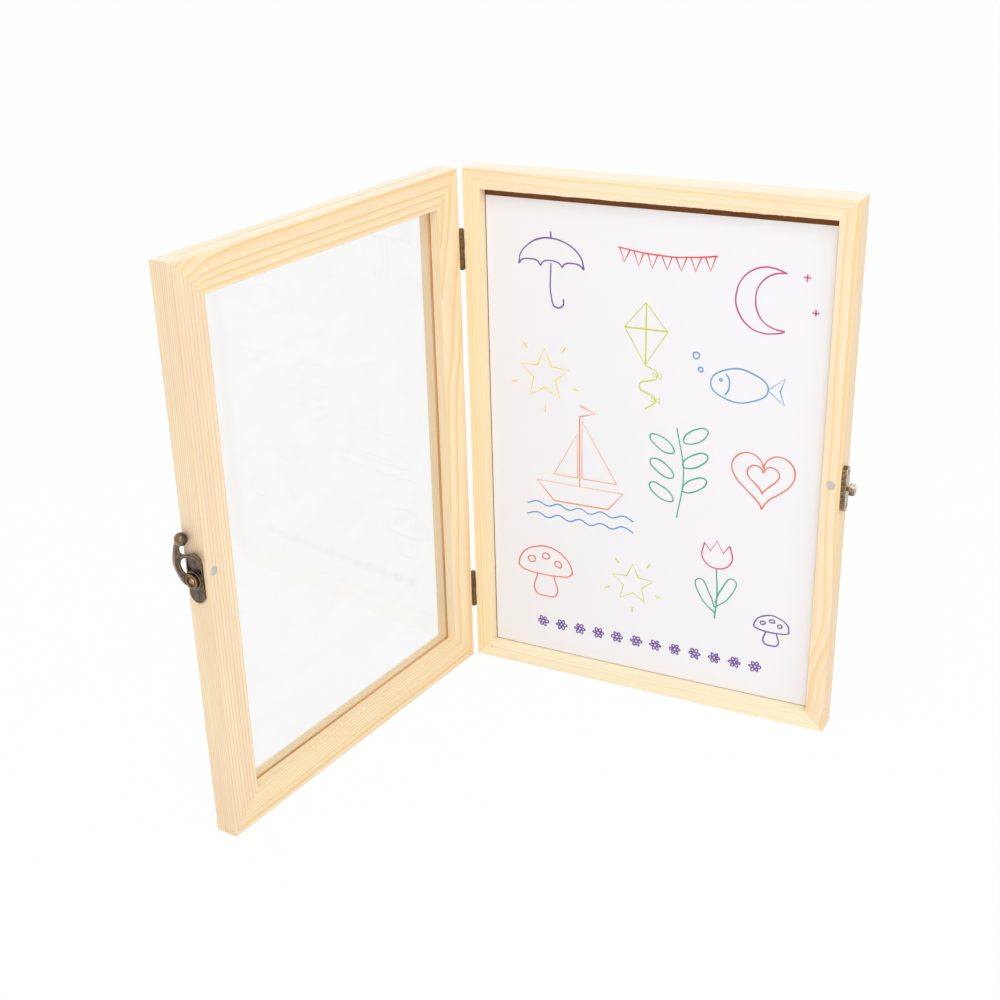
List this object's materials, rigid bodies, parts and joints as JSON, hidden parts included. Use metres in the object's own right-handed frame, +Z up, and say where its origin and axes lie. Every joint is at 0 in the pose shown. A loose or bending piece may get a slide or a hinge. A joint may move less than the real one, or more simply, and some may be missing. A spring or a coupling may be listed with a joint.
{
  "type": "hinged picture frame",
  "caption": "Open hinged wooden picture frame: shallow base holding a sheet of paper, glazed door on two butt hinges, swing hook latch, magnets and a slot in the door for its pane.",
  "frame": {"origin": "middle of the base frame's underside", "axes": "+Z up, +Y towards the wall behind the base, +X from the hinge side to the latch side of the base"},
  "size_m": [0.2908, 0.2597, 0.325],
  "materials": {
    "pine": "planed, unfinished",
    "hardboard": "smooth brown board",
    "beech": "plain peg",
    "clear_sheet": "clear",
    "paper": "uncoated paper",
    "antique_bronze": "antique, rubbed",
    "zinc_steel": "zinc plated",
    "nickel": "nickel, satin"
  },
  "bodies": {
    "base": {"base_stile_hinge_side": "pine", "base_stile_latch_side": "pine", "base_rail_top": "pine", "base_rail_bottom": "pine", "back_panel": "hardboard", "back_panel_points": "zinc_steel", "base_corner_nails": "zinc_steel", "base_magnet": "nickel", "strike_plate": "antique_bronze", "strike_post": "antique_bronze", "strike_nails": "antique_bronze", "hinge_base_nails": "antique_bronze", "upper_hinge_base_leaf": "antique_bronze", "lower_hinge_base_leaf": "antique_bronze", "upper_hinge_pin": "antique_bronze", "lower_hinge_pin": "antique_bronze", "hanger_plate": "zinc_steel", "hanger_nails": "zinc_steel"},
    "door": {"door_stile_hinge_side": "pine", "door_stile_latch_side": "pine", "door_rail_top": "pine", "door_rail_bottom": "pine", "door_corner_dowels": "beech", "door_magnet": "nickel", "hinge_door_nails": "antique_bronze", "upper_hinge_door_leaf": "antique_bronze", "lower_hinge_door_leaf": "antique_bronze", "latch_plate": "antique_bronze", "latch_plate_nails": "antique_bronze", "latch_rivet": "antique_bronze"},
    "hook": {"latch_hook": "antique_bronze"},
    "pane": {"glazing_pane": "clear_sheet"},
    "artwork": {"artwork_sheet": "paper"}
  },
  "joints": [
    {"name": "door_hinge", "type": "hinge", "parent": "base", "child": "door", "pos_m": [-0.11905, -0.00865, 0.1625], "axis": [0, 0, -1], "range_deg": [-96.7, 83.3]},
    {"name": "hook_pivot", "type": "hinge", "parent": "door", "child": "hook", "pos_m": [-0.15352, -0.24252, 0.1588], "axis": [-0.1167, -0.9932, 0], "range_deg": [-95, 90]},
    {"name": "pane_slide", "type": "slide", "parent": "door", "child": "pane", "axis": [0, 0, 1], "range_m": [0, 0.3]},
    {"name": "sheet_play", "type": "slide", "parent": "base", "child": "artwork", "axis": [0, -1, 0], "range_m": [0, 0.0045]}
  ]
}
